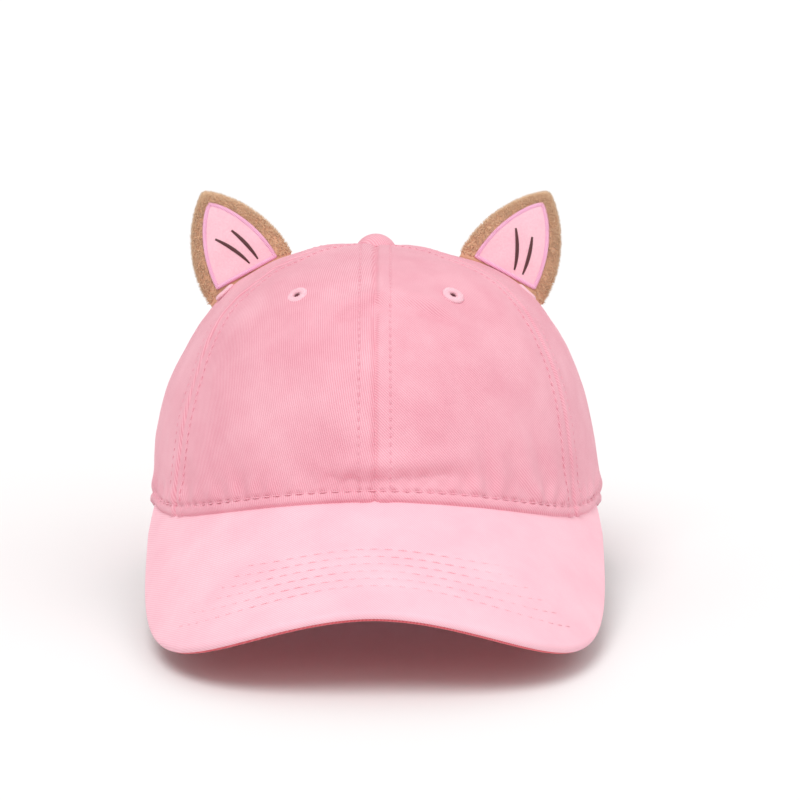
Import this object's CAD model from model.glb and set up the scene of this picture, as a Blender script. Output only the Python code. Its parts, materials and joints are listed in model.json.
import json
import math

import bpy
import numpy as np
from mathutils import Matrix


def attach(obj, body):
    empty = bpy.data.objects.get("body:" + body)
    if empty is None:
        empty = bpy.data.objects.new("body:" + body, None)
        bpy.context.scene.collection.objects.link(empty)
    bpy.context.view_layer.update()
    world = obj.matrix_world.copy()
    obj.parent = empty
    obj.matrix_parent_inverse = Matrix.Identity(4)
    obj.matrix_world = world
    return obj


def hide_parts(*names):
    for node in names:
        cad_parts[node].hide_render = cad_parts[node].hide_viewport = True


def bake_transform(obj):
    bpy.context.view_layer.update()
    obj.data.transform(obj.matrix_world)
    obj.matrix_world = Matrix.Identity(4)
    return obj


# A child's pink six-panel cap with a curved peak, a strap and clamp buckle at the back and two
# plush cat ears. Row frame: metres, Z up, -Y the front, +X the wearer's left, standing on z = 0.
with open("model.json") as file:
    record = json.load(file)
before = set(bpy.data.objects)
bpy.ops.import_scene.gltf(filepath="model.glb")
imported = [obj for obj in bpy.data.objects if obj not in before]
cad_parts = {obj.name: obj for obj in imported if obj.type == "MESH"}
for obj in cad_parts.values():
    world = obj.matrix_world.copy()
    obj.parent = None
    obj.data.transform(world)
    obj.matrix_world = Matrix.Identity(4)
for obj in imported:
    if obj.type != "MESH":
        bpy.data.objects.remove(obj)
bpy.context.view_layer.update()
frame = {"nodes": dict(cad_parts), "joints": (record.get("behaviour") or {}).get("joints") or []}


# ---- How the cap lies ----
# The cap stands on its strap and on the two sides of its peak, so the rim's own frame, in which
# the cloth is cut, is tipped back. Lengths are millimetres in the rim's frame until lay().

joints = {joint["name"]: joint for joint in frame["joints"]}
strap_axis = np.array(joints["buckle_lever_turn"]["axis"], float)
tip = math.atan2(-strap_axis[1], -strap_axis[2])
ear_seat = np.array([45.5, 6.0, 91.538])            # where the left ear's fold lies
tilt = np.array([[1, 0, 0], [0, math.cos(tip), math.sin(tip)], [0, -math.sin(tip), math.cos(tip)]])
rim_origin = np.array(joints["ear_left_fold"]["pos_m"]) * 1000 - tilt @ ear_seat


def lay(points):
    """Points of the rim's frame, in millimetres, as points of the row frame, in metres."""
    return (np.asarray(points, float) @ tilt.T + rim_origin) / 1000


# ---- Crown ----
# Six gores of midweight cotton twill, sewn edge to edge with the allowances pressed open and
# topstitched on both sides. The lower edge is turned up and lockstitched 4 mm above the fold.
# Nothing stiffens the cloth, so it puckers along its seams and creases a little.

def bell(x, width):
    return np.exp(-((x / width) ** 2))


def ease(x, low, high):
    share = np.clip((x - low) / (high - low), 0, 1)
    return share * share * (3 - 2 * share)


def unit(ways):
    """The same directions, each 1 long."""
    return ways / np.linalg.norm(ways, axis=-1, keepdims=True)


def run_along(path):
    """Distance along a path of points from the first to each of them."""
    return np.concatenate([[0], np.cumsum(np.linalg.norm(np.diff(path, axis=0), axis=1))])


def ripple(points, size, seed):
    """A smooth random field over points, about 1 at most: seven plane waves, size mm long."""
    chance = np.random.default_rng(seed)
    way = unit(chance.normal(size=(7, 3)))
    way *= 2 * math.pi / (size * chance.uniform(0.7, 1.5, (7, 1)))
    return np.sin(points @ way.T + chance.uniform(0, 6.28, 7)).sum(-1) / 4


def grid_faces(rows, columns, close_rows=False, close_columns=False):
    """Quads of a grid of points whose outward side is its column direction crossed with its row direction."""
    number = np.arange(rows * columns).reshape(rows, columns)
    if close_columns:
        number = np.hstack([number, number[:, :1]])
    if close_rows:
        number = np.vstack([number, number[:1]])
    corners = [number[:-1, :-1], number[:-1, 1:], number[1:, 1:], number[1:, :-1]]
    return np.stack(corners, -1).reshape(-1, 4)


def in_scene(name, data):
    made = bpy.data.objects.new(name, data)
    bpy.context.scene.collection.objects.link(made)
    return made


def add_mesh(name, points, faces, weave=None, **fields):
    """A smooth mesh from points (n, 3) in mm of the rim's frame and quads or triangles (m, 3 or 4).

    weave is each point's place in the flat cloth in metres, across and along its ribs, and each
    of fields is one number per point that a material reads."""
    groups = faces if isinstance(faces, list) else [faces]
    corners = np.concatenate([group.ravel() for group in groups]).astype(np.int32)
    sizes = np.concatenate([np.full(len(group), group.shape[1]) for group in groups])
    mesh = bpy.data.meshes.new(name)
    mesh.vertices.add(len(points))
    mesh.vertices.foreach_set("co", lay(points).astype(np.float32).ravel())
    mesh.loops.add(len(corners))
    mesh.loops.foreach_set("vertex_index", corners)
    mesh.polygons.add(len(sizes))
    mesh.polygons.foreach_set("loop_start", (np.cumsum(sizes) - sizes).astype(np.int32))
    mesh.polygons.foreach_set("use_smooth", np.ones(len(sizes), bool))
    if weave is not None:
        layer = mesh.uv_layers.new(name="weave")
        layer.data.foreach_set("uv", weave[corners].astype(np.float32).ravel())
    for key, values in fields.items():
        mesh.attributes.new(key, "FLOAT", "POINT").data.foreach_set("value", values.astype(np.float32))
    mesh.update(calc_edges=True)
    return in_scene(name, mesh)


def closed_sheet(outer, inner, weave=None, keep=None):
    """Points, quads and weave of a cloth between two (rows, columns, 3) grids, walled at every free edge."""
    rows, columns = outer.shape[:2]
    cells = grid_faces(rows, columns)
    if keep is not None:
        cells = cells[keep.ravel()]
    total = rows * columns
    start, end = cells.ravel(), np.roll(cells, -1, 1).ravel()
    free = ~np.isin(start * total + end, end * total + start)
    a, b = start[free], end[free]
    walls = np.stack([b, a, a + total, b + total], -1)
    faces = np.concatenate([cells, cells[:, ::-1] + total, walls])
    used, renumbered = np.unique(faces, return_inverse=True)
    points = np.concatenate([outer.reshape(-1, 3), inner.reshape(-1, 3)])[used]
    if weave is not None:
        weave = np.concatenate([weave.reshape(-1, 2)] * 2)[used]
    return points, renumbered.reshape(faces.shape), weave


def finish_piece(piece, material, slot, body, *stands_for):
    piece.data.materials.append(material)
    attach(piece, body)
    if stands_for:
        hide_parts(*stands_for)


half_width, half_length, crown_height, power = 80.0, 92.0, 101.5, 2.55
mean_radius = (half_width + half_length) / 2
cloth = 1.2
gore = math.radians(60)
profile_turn = np.linspace(0, math.pi / 2, 700)
profile_out = np.cos(profile_turn) ** (2 / power)
profile_up = np.sin(profile_turn) ** (2 / power)
profile_along = run_along(np.column_stack([profile_out * mean_radius, profile_up * crown_height]))
seam_row, seam_pitch, hem_row, hem_pitch = 5.3, 2.9, 4.2, 4.4
opening_half, opening_high = 48, 44
peak_rise, peak_bend, peak_fall, peak_end = 15.6, 96.8, math.radians(29.2), 18.0


def crown_normal(x, y, out, up):
    """Outward normal where x, y and up are shares of half the width, half the length and the height."""
    steep = out ** (power - 2)
    return unit(np.stack([x * steep / half_width, y * steep / half_length,
                          up ** (power - 1) / crown_height], -1))


def dome(turn, along, inset=0.0):
    """Points and outward normals of the crown.

    turn is the azimuth from the front towards +X and along the distance up the profile:
    x = w r sin(turn), y = -l r cos(turn), z = h s, with r^p + s^p = 1."""
    out = np.interp(along, profile_along, profile_out)
    up = np.interp(along, profile_along, profile_up)
    x, y = out * np.sin(turn), -out * np.cos(turn)
    normal = crown_normal(x, y, out, up)
    place = np.stack([x * half_width, y * half_length, up * crown_height], -1)
    return place - normal * np.asarray(inset)[..., None], normal


def peak_face(x, y):
    """Height of the peak's upper face, a cylinder that lies forward and down."""
    arch = peak_bend * (np.sqrt(np.clip(1 - (x / peak_bend) ** 2, 0, 1)) - 1)
    return peak_rise + (y + half_length) * math.tan(peak_fall) + arch / math.cos(peak_fall)


peak_corner = half_width * math.sqrt(1 - (peak_end / half_length) ** 2)
rim_slope = peak_face(peak_corner, -peak_end) / (half_length + peak_end)


def rim_edge(x, y):
    """Height of the crown's lower edge: on the peak in front, slanting behind, arched over the opening."""
    arch = np.where(y > 0, opening_high * np.sqrt(np.clip(1 - (x / opening_half) ** 2, 0, 1)), 0)
    return np.where(y < -peak_end, peak_face(x, y), np.maximum(rim_slope * (half_length - y), arch))


def height_along(turn, heights, top):
    """Distance up the profile, less than top, at which the crown reaches heights(x, y), by bisection."""
    low, high = np.zeros_like(turn), np.full_like(turn, top)
    for _ in range(36):
        middle = (low + high) / 2
        place, _ = dome(turn, middle)
        above = place[..., 2] > heights(place[..., 0], place[..., 1])
        low, high = np.where(above, low, middle), np.where(above, middle, high)
    return high


def edge_along(turn):
    return height_along(turn, rim_edge, 75.0)


rim_turns = np.linspace(-math.pi, math.pi, 1500)
rim_levels = edge_along(rim_turns)


def seam_distance(turn, along):
    """Distance in mm to the nearest of the six seams, and round the rim from the back."""
    reach = np.hypot(half_width * np.cos(turn), half_length * np.sin(turn))
    out = np.interp(along, profile_along, profile_out)
    off = np.abs((turn + gore / 2) % gore - gore / 2)
    return off * reach * out, (turn + math.pi) % (2 * math.pi) * mean_radius


def creases(place):
    """Folds pressed into the soft front: each is a groove with a swell over it."""
    x, y, z = place[..., 0], place[..., 1], place[..., 2]
    front = ease(-y, 20, 45)
    arch = z - 82 + ((x - 5) / 20) ** 2 * 5
    high = ease(x, -20, -9) * ease(-x, -30, -18)
    low = z - 23 - 0.05 * x
    wide = ease(x, -26, -8) * ease(-x, -38, -16)
    gathers = np.sin(2 * math.pi * (x + 0.25 * z) / 9.5)
    right = ease(x, 27, 38) * ease(-x, -74, -60) * ease(z, 6, 12) * ease(-z, -44, -16)
    left = ease(-x, 32, 44) * ease(x, -74, -62) * ease(z, 6, 12) * ease(-z, -34, -14)
    side = bell(place @ np.array([0.5, 0.35, 0.8]) - 92, 3.5) * ease(np.abs(x), 52, 66)
    return front * (
        high * (1.3 * bell(arch - 3.5, 3) - 1.5 * bell(arch, 2))
        + wide * (1.5 * bell(low - 5.5, 4) - 1.8 * bell(low + 0.5, 3))
        + 0.8 * right * gathers + 0.4 * left * gathers
    ) - 0.4 * side


def crown_cloth(turn, along):
    """Outer surface and normals of the panels with their relief in mm along the normal.

    The relief is a groove and two raised allowances at each seam, dents of the topstitching,
    the puffed hem, puckers that fade away from the stitches, creases and slow waves. None is
    deeper than three quarters of the cloth."""
    place, normal = dome(turn, along)
    away, round_rim = seam_distance(turn, along)
    level = along - np.interp((turn + math.pi) % (2 * math.pi) - math.pi, rim_turns, rim_levels)
    beat = 0.55 + 0.45 * np.cos(2 * math.pi * along / seam_pitch)
    seam = (
        -0.75 * bell(away, 0.75) + 0.45 * ease(away, 0.5, 2.0) * (1 - ease(away, 4.6, 6.6))
        - 0.3 * bell(away - seam_row, 0.6) * beat
        + 0.22 * ripple(place, 9, 3) * np.exp(-away / 6)
    )
    beat = 0.6 + 0.4 * np.cos(2 * math.pi * round_rim / hem_pitch)
    slack = 0.4 + np.sin(math.pi * round_rim / hem_pitch + 2 * ripple(place, 30, 5))
    hem = (
        -1.0 * (1 - ease(level, 0, 1.6)) + 0.5 * (1 - ease(level, 3.0, 4.4))
        - 1.0 * bell(level - hem_row, 0.9) * beat + 0.55 * bell(level - 7.5, 3) * slack
    )
    drape = 0.9 * ripple(place, 55, 11) + 0.4 * ripple(place, 22, 12) + 0.1 * ripple(place, 9, 13)
    crown = ease(profile_along[-1] - along, 2, 14)
    relief = seam * crown + hem + (drape + creases(place)) * ease(level, 1, 9) * crown
    relief = np.maximum(relief, -0.75 * cloth)
    return place + normal * relief[..., None], normal, relief


def add_node(material, made, values):
    """A node with its settings and inputs from values; an input takes a constant or another's output."""
    node = material.node_tree.nodes.new(made)
    for key, value in values.items():
        if isinstance(key, str) and key not in node.inputs:
            setattr(node, key, value)
        elif isinstance(value, bpy.types.NodeSocket):
            material.node_tree.links.new(value, node.inputs[key])
        else:
            node.inputs[key].default_value = value
    return node


def linear(red, green, blue):
    """An 8-bit sRGB colour as the linear RGBA that a shader takes."""
    parts = [(c / 255 / 12.92 if c <= 10 else ((c / 255 + 0.055) / 1.055) ** 2.4) for c in (red, green, blue)]
    return (*parts, 1.0)


def new_material(name):
    """A new node material and its surface shader."""
    material = bpy.data.materials.new(name)
    material.use_nodes = True
    return material, material.node_tree.nodes["Principled BSDF"]


def scaled_sum(material, first, scale, rest):
    """first times scale, plus rest."""
    return add_node(material, "ShaderNodeMath", {
        "operation": "MULTIPLY_ADD", 0: first, 1: scale, 2: rest}).outputs[0]


def object_place(material):
    return add_node(material, "ShaderNodeTexCoord", {}).outputs["Object"]


def shade(material, shader, tone, light, dark, constants, height=None, strength=0.0, depth=0.0):
    """Colours from dark to light by tone, bumps of depth mm by height, and the shader's constant inputs."""
    colour = add_node(material, "ShaderNodeMix", {
        "data_type": "RGBA", 0: tone, 6: linear(*dark), 7: linear(*light)}).outputs[2]
    material.node_tree.links.new(colour, shader.inputs["Base Color"])
    if height is not None:
        bump = add_node(material, "ShaderNodeBump", {
            "Strength": strength, "Distance": depth / 1000, "Height": height}).outputs[0]
        material.node_tree.links.new(bump, shader.inputs["Normal"])
    for key, value in constants.items():
        shader.inputs[key].default_value = value
    return material


def woven(name, light, dark, rib=0.78, yarn=0.5, depth=0.16):
    """Twill: ribs rib mm apart across the first weave axis, each broken into floats along the second,
    over the slow unevenness of garment-dyed cotton."""
    material, shader = new_material(name)
    weave = add_node(material, "ShaderNodeUVMap", {"uv_map": "weave"}).outputs[0]
    period = 2 * math.pi / 20 * 1000                # of a wave texture at scale 1, in mm
    ribs = add_node(material, "ShaderNodeTexWave", {
        "bands_direction": "X", "Vector": weave, "Scale": period / rib,
        "Distortion": 0.9, "Detail": 1.0, "Detail Scale": 0.7}).outputs[1]
    floats = add_node(material, "ShaderNodeTexWave", {
        "bands_direction": "Y", "Vector": weave, "Scale": period / yarn,
        "Distortion": 2.5, "Detail": 1.0, "Detail Scale": 1.3}).outputs[1]
    fibre = add_node(material, "ShaderNodeTexNoise", {
        "Vector": weave, "Scale": 2600.0, "Detail": 2.0}).outputs[0]
    cloud = add_node(material, "ShaderNodeTexNoise", {
        "Vector": object_place(material), "Scale": 45.0, "Detail": 4.0, "Roughness": 0.6}).outputs[0]
    height = scaled_sum(material, fibre, 0.35, 0.0)
    height = scaled_sum(material, ribs, 0.7, scaled_sum(material, floats, 0.22, height))
    tone = scaled_sum(material, height, 0.75, scaled_sum(material, cloud, 0.9, -0.45))
    constants = {"Roughness": 0.85, "Specular IOR Level": 0.2, "Sheen Weight": 0.25,
                 "Sheen Roughness": 0.5, "Sheen Tint": linear(255, 225, 232)}
    return shade(material, shader, tone, light, dark, constants, height, 0.7, depth)


def on_the_bias(u, v, grain):
    """Places u, v mm in a flat piece, as metres across and along ribs that fall at grain degrees."""
    angle = math.radians(grain)
    across = u * math.sin(angle) + v * math.cos(angle)
    along = -u * math.cos(angle) + v * math.sin(angle)
    return np.stack([across, along], -1) / 1000


pink_twill = woven("pink_twill", (246, 192, 203), (220, 138, 156), depth=0.12)
eyelet_along = np.interp(math.radians(53), profile_turn, profile_along)
shares = np.linspace(0, 1, 141)
eyelet_hole = 3.0
seam_shares = shares - 0.7 * np.sin(2 * math.pi * shares) / (2 * math.pi)
rows = np.linspace(0, 1, 150) ** 1.25
gores = [("front_panel_left", 48), ("side_panel_left", 60), ("back_panel_left", 66),
         ("back_panel_right", 55), ("side_panel_right", 70), ("front_panel_right", 71)]
for index, (name, grain) in enumerate(gores):
    turn = gore * (index + seam_shares)
    if name.startswith("back"):
        narrow = opening_half / half_width
        beside = 2 * gore + (math.pi - math.asin(narrow) - 2 * gore) * np.linspace(0, 1, 40) ** 1.4
        over = math.pi - np.arcsin(narrow * np.sin(np.linspace(math.pi / 2, 0, 101)))
        turn = np.concatenate([beside[:-1], over])
        if name.endswith("right"):
            turn = 2 * math.pi - turn[::-1]
    level = edge_along(turn)
    along = level + (profile_along[-1] - 3.5 - level) * rows[:, None]
    turn = np.broadcast_to(turn, along.shape)
    outer, normal, relief = crown_cloth(turn, along)
    inner = dome(turn, along, cloth - np.minimum(relief, 0.2) * 0.5)[0]
    hole, _ = dome(np.array(gore * (index + 0.5)), np.array(eyelet_along))
    middle = (outer[:-1, :-1] + outer[1:, 1:]) / 2
    keep = np.linalg.norm(middle - hole, axis=-1) > eyelet_hole
    out = np.interp(along, profile_along, profile_out)
    weave = on_the_bias((turn - gore * (index + 0.5)) * mean_radius * out, along, grain)
    piece = add_mesh(name + "_cloth", *closed_sheet(outer, inner, weave, keep))
    finish_piece(piece, pink_twill, "pink_twill", "cap", name)


# ---- Stitching of the crown ----
# Lockstitch in polyester thread dyed to match: one row each side of every seam, and one row
# right round the turned-up hem, drawn tight so that each stitch lies in its own dent.

def thread_row(path, normal, pitch, length):
    """Starts, ends and normals of the stitches along a path of points."""
    at = run_along(path)
    count = int(at[-1] // pitch)
    middle = (np.arange(count) + 0.5) * at[-1] / count

    def pick(places, values):
        return np.stack([np.interp(places, at, values[:, i]) for i in range(3)], -1)

    return pick(middle - length / 2, path), pick(middle + length / 2, path), pick(middle, normal)


def threads(name, seams, radius, sink=0.35):
    """Every stitch as a closed thread: six-sided rings that rise from the cloth and dip back into it."""
    start, end, normal = (np.concatenate(parts)[:, None, None, :] for parts in zip(*seams))
    along = np.array([0.0, 0.1, 0.35, 0.65, 0.9, 1.0])[None, :, None, None]
    girth = np.array([0.15, 0.8, 1.0, 1.0, 0.8, 0.15])[None, :, None, None]
    round_it = np.arange(6)[None, None, :, None] * math.pi / 3
    side = np.cross(unit(end - start), normal)
    ride = radius * (1.1 * np.sin(math.pi * along) - sink)
    points = start + (end - start) * along + normal * ride + radius * girth * (
        np.cos(round_it) * side + np.sin(round_it) * normal)
    count = len(start)
    ring = grid_faces(6, 6, close_columns=True)[:, ::-1]
    body = (ring[None] + 36 * np.arange(count)[:, None, None]).reshape(-1, 4)
    first = np.array([[0, 1, 2, 3], [0, 3, 4, 5]])
    caps = np.concatenate([first, first[:, ::-1] + 30])
    caps = (caps[None] + 36 * np.arange(count)[:, None, None]).reshape(-1, 4)
    return add_mesh(name, points.reshape(-1, 3), np.concatenate([body, caps]))


def thread_material(name, light, dark, rough=0.5):
    """Twisted thread: fine bands laid slantwise over each stitch, softly glossy."""
    material, shader = new_material(name)
    twist = add_node(material, "ShaderNodeTexWave", {
        "bands_direction": "DIAGONAL", "Vector": object_place(material), "Scale": 900.0,
        "Distortion": 1.5}).outputs[1]
    constants = {"Roughness": rough, "Sheen Weight": 0.2}
    return shade(material, shader, twist, light, dark, constants, twist, 0.6, 0.1)


pink_thread = thread_material("pink_thread", (246, 184, 197), (226, 140, 160))
seams = []
for index in range(6):
    reach = math.hypot(half_width * math.cos(gore * index), half_length * math.sin(gore * index))
    for side in (-1, 1):
        along = np.linspace(0, 1, 300)
        low = edge_along(np.array([gore * index + 0.06 * side]))[0] + 5
        along = low + (profile_along[-1] - 9 - low) * along
        out = np.interp(along, profile_along, profile_out)
        turn = gore * index + side * seam_row / (reach * out)
        place, normal, _ = crown_cloth(turn, along)
        seams.append(thread_row(place, normal, seam_pitch, 2.0))
seam_stitches = threads("crown_topstitching", seams, 0.2)
finish_piece(seam_stitches, pink_thread, "pink_twill", "cap")
turn = np.linspace(-math.pi + 0.66, math.pi - 0.66, 1500)
place, normal, _ = crown_cloth(turn, edge_along(turn) + hem_row)
hem_stitches = threads("hem_stitching", [thread_row(place, normal, hem_pitch, 3.3)], 0.27)
finish_piece(hem_stitches, pink_thread, "pink_twill", "cap")


# ---- Peak ----
# A polyethylene board between two twill skins. The upper skin is drawn over the board's edge and
# bagged out to the lower one just under it, then six lockstitch rows quilt all three layers.

peak_along = np.array([0, -math.cos(peak_fall), -math.sin(peak_fall)])
peak_up = np.array([0, -math.sin(peak_fall), math.cos(peak_fall)])
edge_radius, skin = 1.8, 0.85
peak_half, shoulder, reach_ahead = 80.3, 32, 117.5
quilt_first, quilt_step = 14.3, 3.82


def peak_outline():
    """The front edge in plan: x = 80.3 sin(t)^(2/3), y = -32 - 117.5 cos(t)^(2/3), then to the crown."""
    t = np.linspace(0, math.pi / 2, 1200)
    x = peak_half * np.sin(t) ** (2 / 3)
    y = -shoulder - reach_ahead * np.cos(t) ** (2 / 3)
    back = np.linspace(0, 1, 60)[1:]
    x = np.concatenate([x, x[-1] + (peak_corner - x[-1]) * back ** 1.3])
    y = np.concatenate([y, y[-1] + (-peak_end - y[-1]) * back])
    x, y = np.concatenate([-x[:0:-1], x]), np.concatenate([y[:0:-1], y])
    at = run_along(np.column_stack([x, y]))
    return x, y, at / at[-1]


def peak_normal(x):
    slope = np.asarray(x) / peak_bend
    return slope[..., None] * np.array([1.0, 0, 0]) + np.sqrt(1 - slope ** 2)[..., None] * peak_up


def quilt_half(inset):
    """Half the width of the quilting curve that lies inset from the front edge."""
    return 79.8 - 0.8 * (inset - quilt_first)


def row_inset(x, y):
    """How far in from the front edge the quilting curve through each point is, by bisection."""
    low, high = np.full_like(x, -4.0), np.full_like(x, 75.0)
    for _ in range(30):
        inset = (low + high) / 2
        ahead = np.maximum(-y - shoulder, 0) / (reach_ahead - inset)
        past = (np.abs(x) / np.maximum(quilt_half(inset), 5)) ** 3 + ahead ** 3 > 1
        low, high = np.where(past, low, inset), np.where(past, inset, high)
    return high


quilt_rows = quilt_first + quilt_step * np.arange(6)
quilt_ends = 66 - 4.6 * np.arange(6)
outline_x, outline_y, outline_at = peak_outline()
columns = np.linspace(0, 1, 301)
edge_x = np.interp(columns, outline_at, outline_x)
edge_y = np.interp(columns, outline_at, outline_y)
edge_way = unit(np.stack([np.gradient(edge_x, columns), np.gradient(edge_y, columns)], -1))
edge_normal = peak_normal(edge_x)
edge_out = np.stack([edge_way[:, 1], -edge_way[:, 0], np.zeros(len(columns))], -1)
edge_out[:, 2] = -(edge_out * edge_normal).sum(-1) / edge_normal[:, 2]
edge_out = unit(edge_out)
edge_point = np.stack([edge_x, edge_y, peak_face(edge_x, edge_y)], -1)
edge_centre = edge_point - edge_radius * (edge_out + edge_normal)
root_angle = (2 * columns - 1) * (math.pi / 2 - math.asin(peak_end / half_length))
root_x, root_y = 77.6 * np.sin(root_angle), -89.4 * np.cos(root_angle)


def peak_sheet(depth, count):
    """Grid of the peak at depth under its upper face, from its root to where the edge's roll begins."""
    share = np.linspace(0, 1, count)[:, None]
    top = edge_centre + edge_radius * edge_normal
    x = root_x + (top[:, 0] - root_x) * share
    y = root_y + (top[:, 1] - root_y) * share
    place = np.stack([x, y, peak_face(x, y)], -1)
    return place - peak_normal(x) * depth, peak_normal(x), x, y


def rolled(angles, radius):
    """Part of the rounded edge: angles from its middle, 90 degrees being the upper face."""
    angle = np.radians(angles)[:, None, None]
    way = edge_out * np.cos(angle) + edge_normal * np.sin(angle)
    return edge_centre + way * radius, way


taut_twill = woven("taut_twill", (255, 209, 219), (240, 176, 192), depth=0.05)
lower_twill = woven("lower_twill", (232, 126, 134), (206, 84, 92), depth=0.05)
flat, flat_normal, x, y = peak_sheet(0, 130)
inset = row_inset(x, y)
stitched = ease(quilt_ends[0] + 4 - (inset - quilt_first) * 1.2 - np.abs(x), 0, 5)
near_row = np.abs(inset[..., None] - quilt_rows).min(-1)
quilted = stitched * ease(inset, 11, 14) * (1 - ease(inset, 33.5, 37))
relief = -0.22 * bell(near_row, 0.8) * stitched + 0.1 * quilted
relief += 0.12 * ripple(flat, 40, 21) + 0.05 * ripple(flat, 12, 22)
relief *= np.minimum(1, np.linspace(1, 0, 130)[:, None] * 12)
roll_angles = np.concatenate([np.linspace(82, 0, 9), np.linspace(-8, -34, 5)])
bent, bent_normal = rolled(roll_angles, edge_radius)
tuck = np.concatenate([np.zeros(11), [0.1, 0.3, 0.6]])[:, None, None]
outer = np.concatenate([flat + flat_normal * relief[..., None], bent - bent_normal * tuck])[::-1]
inner = np.concatenate([flat - skin * flat_normal, rolled(roll_angles, edge_radius - skin)[0]])[::-1]
plan = np.concatenate([flat, bent])[::-1]
weave_u = peak_bend * np.arcsin(np.clip(plan[..., 0] / peak_bend, -1, 1))
weave_v = plan[..., 2] - peak_face(plan[..., 0], plan[..., 1]) - plan @ peak_along
weave = on_the_bias(weave_u, weave_v, 52)
peak_top = add_mesh("peak_top_skin", *closed_sheet(outer, inner, weave))
finish_piece(peak_top, taut_twill, "pink_twill", "cap", "peak_top_cloth")

under, under_normal, x, y = peak_sheet(2 * edge_radius, 60)
lip_angles = np.concatenate([np.linspace(-82, -52, 5), [-44, -38, -35]])
lip, lip_normal = rolled(lip_angles, edge_radius)
swell = np.array([0.05, 0.15, 0.25, 0.3, 0.25, 0.1, -0.2, -0.5])[:, None, None]
outer = np.concatenate([under - 0.02 * under_normal, lip + lip_normal * swell])
inner = np.concatenate([under + skin * under_normal, rolled(lip_angles, edge_radius - skin)[0]])
weave = on_the_bias(outer[..., 0], outer[..., 1], 40)
peak_under = add_mesh("peak_under_skin", *closed_sheet(outer, inner, weave))
finish_piece(peak_under, lower_twill, "pink_twill", "cap", "peak_under_cloth")

seams = []
for inset_at, end in zip(quilt_rows, quilt_ends):
    x = np.linspace(-end, end, 700)
    y = -shoulder - (reach_ahead - inset_at) * (1 - np.abs(x / quilt_half(inset_at)) ** 3) ** (1 / 3)
    normal = peak_normal(x)
    place = np.stack([x, y, peak_face(x, y)], -1) - 0.16 * normal
    seams.append(thread_row(place, normal, 4.6, 3.3))
pale_thread = thread_material("pale_thread", (252, 204, 214), (240, 172, 186))
quilting = threads("peak_quilting", seams, 0.2)
finish_piece(quilting, pale_thread, "pink_twill", "cap")


# ---- Eyelets ----
# Vent holes bound with satin stitch: one thread laid round and round, so each ring is ribbed.

ring_rows, ring_columns = 12, 160


def ribbed_ring(centre, axes):
    """Ribbed torus: p = c + (R + r cos b) e(a) + h sin b n, with r and h swollen by the threads' ribs."""
    a = (np.arange(ring_columns) * 2 * math.pi / ring_columns)[None, :, None]
    b = (np.arange(ring_rows) * 2 * math.pi / ring_rows)[:, None, None]
    swell = 1 + 0.08 * np.sin(44 * a)
    way = np.cos(a) * axes[0] + np.sin(a) * axes[1]
    return centre + (2.55 + 1.45 * swell * np.cos(b)) * way + 0.95 * swell * np.sin(b) * axes[2]


eyelet_thread = thread_material("eyelet_thread", (253, 214, 223), (240, 172, 188), 0.45)
points, faces = [], []
for index in range(6):
    middle, outward = dome(np.array(gore * (index + 0.5)), np.array(eyelet_along))
    level_way = unit(np.cross([0, 0, 1], outward))
    ring = ribbed_ring(middle + 0.1 * outward, (level_way, np.cross(outward, level_way), outward))
    points.append(ring.reshape(-1, 3))
    faces.append(grid_faces(ring_rows, ring_columns, True, True) + ring_rows * ring_columns * index)
eyelets = add_mesh("eyelet_rings", np.concatenate(points), np.concatenate(faces))
finish_piece(eyelets, eyelet_thread, "eyelet_thread", "cap", "eyelets")


# ---- Button ----
# A domed metal cap covered with a disc of the crown's twill, gathered underneath, and riveted
# through the six panels' points to a washer inside.

def turned_mesh(name, profile, count, flutes):
    """Closed surface of revolution about the crown's axis, from a lower pole to an upper one.

    profile is (radius, height) pairs; flutes is the depth of the gathers at the lower rim, in mm."""
    profile = np.asarray(profile, float)
    angle = np.arange(count) * 2 * math.pi / count
    radius, height = profile[1:-1, :1], profile[1:-1, 1:]
    low = np.exp(-np.clip(height - profile[1:-1, 1].min(), 0, None) / 0.9)
    radius = radius + flutes * low * np.sin(19 * angle + 2 * np.sin(3 * angle)) * (radius > 4)
    ring = np.stack([radius * np.cos(angle), radius * np.sin(angle), height + 0 * angle], -1)
    rows = len(ring)
    points = np.concatenate([ring.reshape(-1, 3), [[0, 0, profile[0, 1]], [0, 0, profile[-1, 1]]]])
    here, after = np.arange(count), (np.arange(count) + 1) % count
    bottom, top = rows * count, rows * count + 1
    fans = [np.stack([np.full(count, bottom), after, here], -1),
            np.stack([here + (rows - 1) * count, after + (rows - 1) * count, np.full(count, top)], -1)]
    weave = on_the_bias(points[:, 0], points[:, 1], 45)
    return add_mesh(name, points, [grid_faces(rows, count, close_columns=True), *fans], weave)


ball = (7.1 ** 2 + 4.6 ** 2) / 9.2
arc = np.linspace(math.asin(6.95 / ball), 0, 26)
cover_profile = [(0, 101.6), (4.5, 101.5), (6.7, 101.35), (7.15, 101.6), (7.2, 101.95)] + [
    (ball * math.sin(a), 106.1 - ball + ball * math.cos(a)) for a in arc]
cover = turned_mesh("button_covering", cover_profile, 120, 0.09)
finish_piece(cover, pink_twill, "pink_twill", "cap", "button_cover")


# ---- Ears ----
# Two leaf-shaped cushions of short-pile plush, seamed round the edge, filled with wadding and sewn
# along their base to the crown, so that they fold there. Each front carries a felt leaf held by a
# satin-stitched border, with two tapered lines embroidered on it.

ear_tall, ear_half, ear_lean = 33.2, 17.0, math.radians(28.5)
ahead = np.array([0, -1.0, 0])
felt_tall, felt_half, felt_foot = 28.8, 11.7, 1.5
bulge_at, bulge = [-0.3, 0, 0.18, 0.45, 0.75, 1.0], [1.2, 1.6, 4.8, 7.0, 5.6, 2.5]


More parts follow.
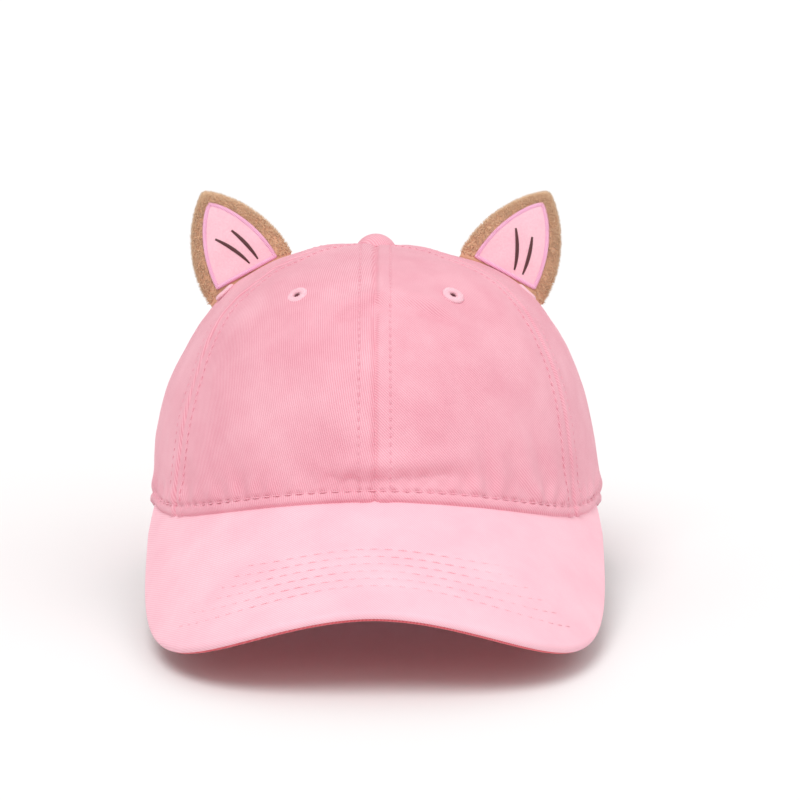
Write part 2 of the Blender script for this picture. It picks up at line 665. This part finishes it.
def ear_ways(side):
    """Across and up in an ear's own plane; side is 1 for the left ear, -1 for the right."""
    lean = side * ear_lean
    return np.array([math.cos(lean), 0, -math.sin(lean)]), np.array([math.sin(lean), 0, math.cos(lean)])


def in_ear(side, u, v, w):
    """Points u across, v up and w ahead of an ear's own plane."""
    across, up = ear_ways(side)
    foot = np.array([side * 45.5, 6.0, 91.09])
    return foot + u[..., None] * across + v[..., None] * up + w[..., None] * ahead


def leaf_width(v, tall, half):
    return half * np.clip(1 - (np.clip(v, 0, None) / tall) ** 2, 0, 1) ** 0.8


def ear_level(front, u, v):
    """Height w of an ear's face: 0.1 + f(v) (1 - (u / width)^2)^0.45 in front, and a deeper bulge behind."""
    wide = leaf_width(v, ear_tall, ear_half) + 1e-6
    full = np.clip(1 - (u / wide) ** 2, 0, 1) ** 0.45 * (wide / ear_half) ** 0.35
    return 0.1 + 2.3 * full if front else -0.1 - np.interp(v / ear_tall, bulge_at, bulge) * full


def felt_level(side, u, v):
    """Height w of the felt's underside, a little wavy."""
    return ear_level(True, u, v) + 0.25 * ripple(in_ear(side, u, v, 0 * u), 11, 51)


def ear_skin(side, front, across, rise):
    """Points, u, v and w of an ear's face; across runs from -1 to 1, rise from the crown to 1, the tip."""
    share = np.sin(across * math.pi / 2)
    low, high = np.full(share.shape, -9.0), np.full(share.shape, 12.0)
    for _ in range(26):
        v = (low + high) / 2
        p = in_ear(side, share * ear_half, v, ear_level(front, share * ear_half, v))
        plan = (p[..., 0] / half_width) ** 2 + (p[..., 1] / half_length) ** 2
        inside = plan ** (power / 2) + (np.clip(p[..., 2], 0, None) / crown_height) ** power < 1
        low, high = np.where(inside, v, low), np.where(inside, high, v)
    v = low - 0.5 + (ear_tall * 0.9992 - low + 0.5) * rise
    u = share * leaf_width(v, ear_tall, ear_half)
    w = ear_level(front, u, v)
    place = in_ear(side, u, v, w)
    soft = 0.35 * ripple(place, 13, 31 + side) + 0.12 * ripple(place, 6, 33)
    w = w + (soft if front else -soft) * np.sqrt(np.clip(np.cos(across * math.pi / 2), 0, 1))
    return in_ear(side, u, v, w), u, v, w


def blend_ear(piece, material, slot, side, *stands_for):
    """The ear's cloth is sewn to the crown at its foot and bends there over a few millimetres."""
    piece.data.materials.append(material)
    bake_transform(piece)
    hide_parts(*stands_for)


def fibre_material(name, light, dark, scale, depth, rough=0.95, sheen=0.6):
    """Matted or brushed fibres: fine uneven noise in colour and height, with a soft bloom of sheen."""
    material, shader = new_material(name)
    solid = object_place(material)
    fine = add_node(material, "ShaderNodeTexNoise", {
        "Vector": solid, "Scale": scale, "Detail": 5.0, "Roughness": 0.7}).outputs[0]
    cloud = add_node(material, "ShaderNodeTexNoise", {
        "Vector": solid, "Scale": scale / 9, "Detail": 3.0}).outputs[0]
    tone = scaled_sum(material, fine, 0.9, scaled_sum(material, cloud, 0.3, 0.0))
    constants = {"Roughness": rough, "Specular IOR Level": 0.1, "Sheen Weight": sheen}
    return shade(material, shader, tone, light, dark, constants, fine, 0.8, depth)


def pile_material(name, light, dark):
    """Plush pile: each blade has its own tone and is darker at its root."""
    material, shader = new_material(name)
    tone = add_node(material, "ShaderNodeAttribute", {"attribute_name": "tone"}).outputs["Fac"]
    constants = {"Roughness": 0.9, "Specular IOR Level": 0.15, "Sheen Weight": 0.5}
    return shade(material, shader, tone, light, dark, constants)


def pile_blades(name, root, way, chance, length, girth):
    """Three-sided blades of pile standing on root along way, each closed underneath."""
    count = len(root)
    side = unit(np.cross(way, chance.normal(size=way.shape)))
    other = np.cross(way, side)
    angle = (np.arange(3) * 2 * math.pi / 3)[:, None]
    foot = root[:, None] + girth * (np.cos(angle) * side[:, None] + np.sin(angle) * other[:, None])
    points = np.concatenate([foot, (root + way * length[:, None])[:, None]], 1).reshape(-1, 3)
    faces = np.array([[0, 1, 3], [1, 2, 3], [2, 0, 3], [0, 2, 1]])
    faces = (faces[None] + 4 * np.arange(count)[:, None, None]).reshape(-1, 3)
    own = chance.uniform(0, 0.45, count)
    tone = np.stack([own * 0.6] * 3 + [own + 0.55], 1).ravel()
    return add_mesh(name, points, faces, tone=tone)


def thread_ridge(name, path, wide, high, closed):
    """Satin stitch: a low ridge along path, wide and high in mm either way, ribbed by its threads."""
    way = np.roll(path, -1, 0) - np.roll(path, 1, 0)
    if not closed:
        way[0], way[-1] = path[1] - path[0], path[-1] - path[-2]
    side = np.cross(unit(way), ahead)
    rib = 1 + 0.1 * np.sin(2 * math.pi * run_along(path) / 0.5)
    turn = (np.arange(10) * 2 * math.pi / 10)[:, None, None]
    points = path + np.cos(turn) * side * (wide * rib)[:, None] + np.sin(turn) * ahead * (high * rib)[:, None]
    faces = grid_faces(10, len(path), True, closed)
    if not closed:
        last = len(path) - 1
        ends = np.arange(10) * len(path)
        caps = np.array([[0, 1, 2, 3], [0, 3, 4, 5], [0, 5, 6, 7], [0, 7, 8, 9]])
        faces = np.concatenate([faces, ends[caps], ends[caps][:, ::-1] + last])
    return add_mesh(name, points.reshape(-1, 3), faces)


tan_cloth = fibre_material("tan_plush", (232, 193, 160), (206, 155, 118), 900.0, 0.4)
tan_pile = pile_material("tan_pile", (250, 218, 184), (222, 172, 132))
felt = fibre_material("pink_felt", (253, 214, 222), (240, 172, 190), 1500.0, 0.2, sheen=0.4)
wadding = fibre_material("ear_filling", (250, 248, 244), (225, 222, 216), 300.0, 1.0)
border_thread = thread_material("satin_thread", (252, 208, 230), (226, 140, 186), 0.35)
brown_thread = thread_material("brown_thread", (92, 30, 34), (58, 14, 18), 0.4)
for side, ear in ((1, "ear_left"), (-1, "ear_right")):
    chance = np.random.default_rng(40 + side)
    for front, part in ((True, "_front"), (False, "_back")):
        across, rise = np.meshgrid(np.linspace(-1, 1, 61), np.sin(np.linspace(0, math.pi / 2, 50)))
        if not front:
            across = across[:, ::-1]
        outer, u, v, w = ear_skin(side, front, across, rise)
        inner = in_ear(side, u * 0.94, v - 0.5 * rise, w * 0.6)
        piece = add_mesh(ear + part + "_skin", *closed_sheet(outer, inner))
        blend_ear(piece, tan_cloth, "tan_plush", side, ear + part + "_plush")
    across, rise = np.meshgrid(np.linspace(-1, 1, 25), np.sin(np.linspace(0.03, math.pi / 2, 24)))
    _, u, v, w = ear_skin(side, True, across, rise)
    _, _, _, behind = ear_skin(side, False, across, rise)
    stuffing = add_mesh(ear + "_wadding", *closed_sheet(
        in_ear(side, 0.9 * u, v - rise, 0.5 * w), in_ear(side, 0.9 * u, v - rise, 0.55 * behind)))
    blend_ear(stuffing, wadding, "ear_filling", side, ear + "_filling")

    across_ear, up_ear = ear_ways(side)
    roots, ways = [], []
    for front, count in ((True, 7500), (False, 9500)):
        across, rise = chance.uniform(-1, 1, count), chance.uniform(0.02, 1, count) ** 0.8
        place, u, v, _ = ear_skin(side, front, across, rise)
        right = ear_skin(side, front, across + 0.01, rise)[0] - place
        above_it = ear_skin(side, front, across, rise + 0.01)[0] - place
        outward = np.cross(right, above_it) * (1 if front else -1)
        outward /= np.linalg.norm(outward, axis=1, keepdims=True) + 1e-9
        bare = (np.abs(u) > leaf_width(v, felt_tall, felt_half) + 0.3) | (v > felt_tall) | (not front)
        way = 0.8 * outward + 0.3 * up_ear + 0.25 * across[:, None] ** 3 * across_ear
        way += 0.28 * chance.normal(size=way.shape)
        roots.append(place[bare])
        ways.append(unit(way)[bare])
    roots, ways = np.concatenate(roots), np.concatenate(ways)
    lengths = chance.uniform(0.9, 1.6, len(roots))
    pile = pile_blades(ear + "_pile", roots - 0.2 * ways, ways, chance, lengths, 0.17)
    blend_ear(pile, tan_pile, "tan_plush", side)

    felt_rise = felt_foot + (felt_tall * 0.9992 - felt_foot) * np.sin(np.linspace(0, math.pi / 2, 50))
    v, share = np.meshgrid(felt_rise, np.sin(np.linspace(-1, 1, 41) * math.pi / 2), indexing="ij")
    u = share * leaf_width(v, felt_tall, felt_half)
    w = felt_level(side, u, v)
    leaf = add_mesh(ear + "_felt_leaf", *closed_sheet(in_ear(side, u, v, w + 0.6), in_ear(side, u, v, w)))
    blend_ear(leaf, felt, "pink_felt", side, ear + "_felt")

    turn = np.linspace(0, math.pi / 2, 260)
    v = felt_foot + (felt_tall * 0.9996 - felt_foot) * np.sin(turn)
    u = leaf_width(v, felt_tall, felt_half)
    foot_u = np.linspace(-u[0], u[0], 60)[1:-1]
    u, v = np.concatenate([u, -u[::-1], foot_u]), np.concatenate([v, v[::-1], 0 * foot_u + felt_foot])
    loop = in_ear(side, u, v, felt_level(side, u, v) + 0.45)
    at = run_along(np.concatenate([loop, loop[:1]]))
    places = np.arange(0, at[-1] - 0.08, at[-1] / 900)
    loop = np.stack([np.interp(places, at, np.append(loop[:, i], loop[0, i])) for i in range(3)], -1)
    rim = thread_ridge(ear + "_satin_border", loop, 0.75, 0.42, True)
    blend_ear(rim, border_thread, "satin_thread", side, ear + "_border")

    lines = []
    for top, middle, bottom in ((-4.2, 0.6, 2.4), (2.4, 5.0, 5.8)):
        share = np.linspace(0, 1, 90)
        v = 17.0 - 13.4 * share
        u = np.polyval(np.polyfit([17.0, 9.0, 3.9], [top, middle, bottom], 2), v)
        path = in_ear(side, u, v, felt_level(side, u, v) + 0.58)
        wide = 0.18 + 0.5 * np.sin(math.pi * np.clip(share * 0.85 + 0.1, 0, 1)) ** 0.8
        lines.append(thread_ridge(ear + "_line", path, wide, 0.6 * wide, False))
    with bpy.context.temp_override(active_object=lines[0], selected_editable_objects=lines):
        bpy.ops.object.join()
    lines[0].name = ear + "_embroidered_lines"
    blend_ear(lines[0], brown_thread, "brown_thread", side, ear + "_lines")


# ---- Strap ----
# Two straps of the same twill, folded double. The long one is edge-stitched, sewn to the right back
# panel and slides through a clamp buckle; the short one, on the left, holds the buckle's bar.

strap_middle, strap_inner = np.array([1.2311, 15.9305]), 76.58
strap_low, strap_high, strap_thick = 1.5, 19.5, 1.6


def around_strap(turn, radius):
    """Points in plan; turn is degrees from the back towards +X, about the strap's own axis."""
    a = np.radians(turn)
    return strap_middle + np.stack([radius * np.sin(a), radius * np.cos(a)], -1)


def upright_ribbon(name, path, thick):
    """Closed band that stands on edge along a plan path; its section is a slot with rounded ends."""
    low, high = strap_low, strap_high
    way = unit(np.gradient(path, axis=0))
    side = np.stack([way[:, 1], -way[:, 0]], -1)
    half = thick / 2
    z = np.linspace(low + half, high - half, 22)
    bow = np.linspace(0, math.pi, 8)[1:-1]
    out = np.concatenate([0 * z + half, half * np.cos(bow), 0 * z - half, -half * np.cos(bow)])
    rise = np.concatenate([z, high - half + half * np.sin(bow), z[::-1], low + half - half * np.sin(bow)])
    plan = path[None] + side[None] * out[:, None, None]
    points = np.concatenate([plan, np.broadcast_to(rise[:, None, None], plan.shape[:2] + (1,))], -1)
    weave = on_the_bias(run_along(path) + 0 * rise[:, None], rise[:, None] + np.zeros(len(path)), 60)
    sections, last = np.arange(len(out)) * len(path), len(path) - 1
    faces = [grid_faces(len(out), len(path), close_rows=True), sections[None], sections[None, ::-1] + last]
    return add_mesh(name, points.reshape(-1, 3), faces, weave.reshape(-1, 2))


strap_twill = woven("strap_twill", (249, 188, 203), (230, 148, 168), rib=0.7)
path = around_strap(np.linspace(-52, 40, 260), strap_inner + strap_thick / 2)
long_strap = upright_ribbon("long_strap", path, strap_thick)
finish_piece(long_strap, strap_twill, "pink_twill", "strap", "strap")
seams = []
for height in (strap_low + 2, strap_high - 2):
    turn = np.linspace(-50.5, 38.5, 400)
    path = around_strap(turn, strap_inner + strap_thick)
    outward = around_strap(turn, strap_inner + strap_thick + 1) - path
    path, outward = np.column_stack([path, 0 * turn + height]), np.column_stack([outward, 0 * turn])
    seams.append(thread_row(path, outward, 3.0, 2.1))
strap_stitches = threads("strap_stitching", seams, 0.2, 0.6)
finish_piece(strap_stitches, pink_thread, "pink_twill", "strap")

bar_turn, bar_at = 25.5, around_strap(25.5, 74.78)
a = math.radians(bar_turn)
outward, onward = np.array([math.sin(a), math.cos(a)]), np.array([math.cos(a), -math.sin(a)])
loop = np.linspace(0, math.pi, 24)[1:-1, None]
back_turn = np.linspace(bar_turn, 50, 90)
fold = np.concatenate([
    around_strap(np.linspace(50, bar_turn, 90), 75.69),
    bar_at + 0.91 * (outward * np.cos(loop) - onward * np.sin(loop)),
    around_strap(back_turn, 73.87 + 1.0 * ease(back_turn, bar_turn + 0.5, bar_turn + 3)),
])
short_strap = upright_ribbon("short_strap", fold, 0.8)
finish_piece(short_strap, strap_twill, "pink_twill", "cap", "buckle_strap")


# ---- Inside ----
# A cotton sweatband folded under the rim, woven tape over each seam, and a tape binding round
# the opening. All three are lockstitched in and lie close against the panels.

def over_band(x, y):
    return rim_slope * (half_length - y) + 28


def band_along(turn):
    """Distance up the profile of the sweatband's upper edge."""
    return height_along(turn, over_band, 90.0)


band_cotton = woven("sweatband_cotton", (250, 196, 208), (236, 164, 182), rib=0.6, yarn=0.6, depth=0.1)
tape_cotton = woven("seam_tape", (251, 200, 212), (238, 170, 188), rib=0.5, yarn=0.9, depth=0.1)
turn = np.linspace(-math.pi + 0.493, math.pi - 0.493, 420)
low, high = edge_along(turn) + 0.5, band_along(turn)
along = low + np.maximum(high - low, 0.3) * np.linspace(0, 1, 36)[:, None]
turn = np.broadcast_to(turn, along.shape)
puff = 0.12 * ripple(dome(turn, along)[0], 10, 61)
outer, inner = dome(turn, along, 2.1)[0], dome(turn, along, 3.0 + puff)[0]
weave = on_the_bias(turn * mean_radius, along, 90)
band = add_mesh("sweat_band", *closed_sheet(outer, inner, weave))
finish_piece(band, band_cotton, "sweatband_cotton", "cap", "sweatband")
row_turn = np.linspace(-math.pi + 0.55, math.pi - 0.55, 1200)
place, normal = dome(row_turn, band_along(row_turn) - 2.5, 3.0)
band_stitches = threads("sweatband_stitching", [thread_row(place, -normal, 3.2, 2.2)], 0.2)
finish_piece(band_stitches, pink_thread, "sweatband_cotton", "cap")

for index, name in enumerate(["front", "front_left", "back_left", "back", "back_right", "front_right"]):
    seam = np.array([gore * index])
    low = 53.5 if name == "back" else edge_along(seam)[0] + 7.5
    along = np.linspace(low, profile_along[-1] - 11, 80)[:, None]
    reach = math.hypot(half_width * math.cos(seam[0]), half_length * math.sin(seam[0]))
    off = np.linspace(-5, 5, 15)
    turn = seam[0] + off / (reach * np.interp(along, profile_along, profile_out))
    along = np.broadcast_to(along, turn.shape)
    rounded = 0.3 * (np.abs(off) / 5) ** 6
    outer, inner = dome(turn, along, 1.25 + rounded)[0], dome(turn, along, 1.95 - rounded)[0]
    tape = add_mesh("tape_" + name, *closed_sheet(outer, inner, on_the_bias(off + 0 * along, along, 90)))
    finish_piece(tape, tape_cotton, "seam_tape", "cap", "seam_tape_" + name)

across, share = np.meshgrid(np.linspace(-1.5, 1.5, 160), np.linspace(0.02, 1, 14))
binding_wide = 8
x = (opening_half + binding_wide * share) * np.sin(across)
z = (opening_high + binding_wide * share) * np.cos(across)
out = (1 - (z / crown_height) ** power) ** (1 / power)
y = half_length * np.sqrt(np.clip(out ** 2 - (x / half_width) ** 2, 0, 1))
normal = crown_normal(x / half_width, y / half_length, out, z / crown_height)
place = np.stack([x, y, z], -1)
weave = on_the_bias(across * opening_half, share * binding_wide, 90)[:, ::-1]
outer, inner = (place - 1.25 * normal)[:, ::-1], (place - 1.95 * normal)[:, ::-1]
binding = add_mesh("binding_tape", *closed_sheet(outer, inner, weave))
finish_piece(binding, tape_cotton, "seam_tape", "cap", "opening_binding")


# ---- Metal and board ----
# The clamp buckle is nickel-plated pressed steel with a brushed face, and the button's shell, rivet
# and washer are plain stamped metal. The peak's board is die-cut polyethylene between its skins.

def brushed(name, tone, rough):
    """Plated metal with fine level brush lines in its colour, roughness and relief."""
    material, shader = new_material(name)
    drawn = add_node(material, "ShaderNodeMapping", {
        "Vector": object_place(material), "Scale": (300.0, 300.0, 6000.0)}).outputs[0]
    lines = add_node(material, "ShaderNodeTexNoise", {
        "Vector": drawn, "Scale": 1.0, "Detail": 3.0}).outputs[0]
    uneven = scaled_sum(material, lines, 0.2, rough - 0.1)
    material.node_tree.links.new(uneven, shader.inputs["Roughness"])
    dark = [c - 34 for c in tone]
    return shade(material, shader, lines, tone, dark, {"Metallic": 1.0}, lines, 0.25, 0.05)


buckle_steel = brushed("buckle_steel", (214, 212, 208), 0.32)
plain_metal = brushed("button_metal", (200, 198, 194), 0.4)
board = fibre_material("peak_board", (238, 237, 232), (222, 220, 214), 200.0, 0.05, 0.5, 0.0)
for material, slot, names in (
    (buckle_steel, "buckle_steel", ("buckle_frame", "buckle_pin", "buckle_lever")),
    (plain_metal, "button_metal", ("button_shell", "button_rivet", "button_washer")),
    (board, "peak_board", ("peak_board",)),
):
    for name in names:
        node = frame["nodes"][name]
        node.data.materials.clear()
        node.data.materials.append(material)


# ---- Light, floor and camera ----
# A white sweep under two broad, soft lamps and an even white room, seen from a little above.

def look_along(obj, way):
    """Turns obj so that its -Z axis points along way, with its X axis level."""
    back = -unit(np.asarray(way, float))
    right = unit(np.cross([0, 0, 1], back))
    turned = np.eye(4)
    turned[:3, :3] = np.stack([right, np.cross(back, right), back], -1)
    turned[:3, 3] = obj.location
    obj.matrix_world = Matrix(turned.tolist())


floor_mesh = bpy.data.meshes.new("floor")
floor_mesh.from_pydata([(-4, -4, 0), (4, -4, 0), (4, 4, 0), (-4, 4, 0)], [], [(0, 1, 2, 3)])
floor = in_scene("floor", floor_mesh)
paper, shader = new_material("floor_paper")
shader.inputs["Base Color"].default_value = (0.9, 0.89, 0.89, 1)
shader.inputs["Roughness"].default_value = 0.95
shader.inputs["Specular IOR Level"].default_value = 0.1
floor_mesh.materials.append(paper)

lamps = [("key", 1.5, 35, (0.2, 0.5, -1.0)), ("fill", 0.5, 60, (-0.75, 0.4, -0.7))]
for name, strength, spread, way in lamps:
    lamp = bpy.data.lights.new(name, "SUN")
    lamp.energy, lamp.angle = strength, math.radians(spread)
    holder = in_scene(name, lamp)
    look_along(holder, way)

world = bpy.data.worlds.new("room")
bpy.context.scene.world = world
world.use_nodes = True
world.node_tree.nodes.clear()
rays = add_node(world, "ShaderNodeLightPath", {})
seen = add_node(world, "ShaderNodeBackground", {0: (1, 1, 1, 1), 1: 1.0}).outputs[0]
lit = add_node(world, "ShaderNodeBackground", {0: (1, 0.99, 0.98, 1), 1: 0.64}).outputs[0]
direct = add_node(world, "ShaderNodeMath", {
    "operation": "MAXIMUM", 0: rays.outputs["Is Camera Ray"], 1: rays.outputs["Is Glossy Ray"]}).outputs[0]
either = add_node(world, "ShaderNodeMixShader", {0: direct, 1: lit, 2: seen}).outputs[0]
add_node(world, "ShaderNodeOutputWorld", {0: either})

lens = bpy.data.cameras.new("camera")
lens.sensor_width, lens.lens = 36, 36 * 4896 / 800
camera = in_scene("camera", lens)
down = math.radians(2.45)                           # below the plane of the rim
ahead = tilt @ [0, math.cos(down), -math.sin(down)]
above = tilt @ [0, math.sin(down), math.cos(down)]
camera.location = rim_origin / 1000 - 1.7475 * ahead + 0.04675 * above + np.array([0.0086, 0, 0])
look_along(camera, ahead)
bpy.context.scene.camera = camera
bpy.context.scene.view_settings.view_transform = "Standard"
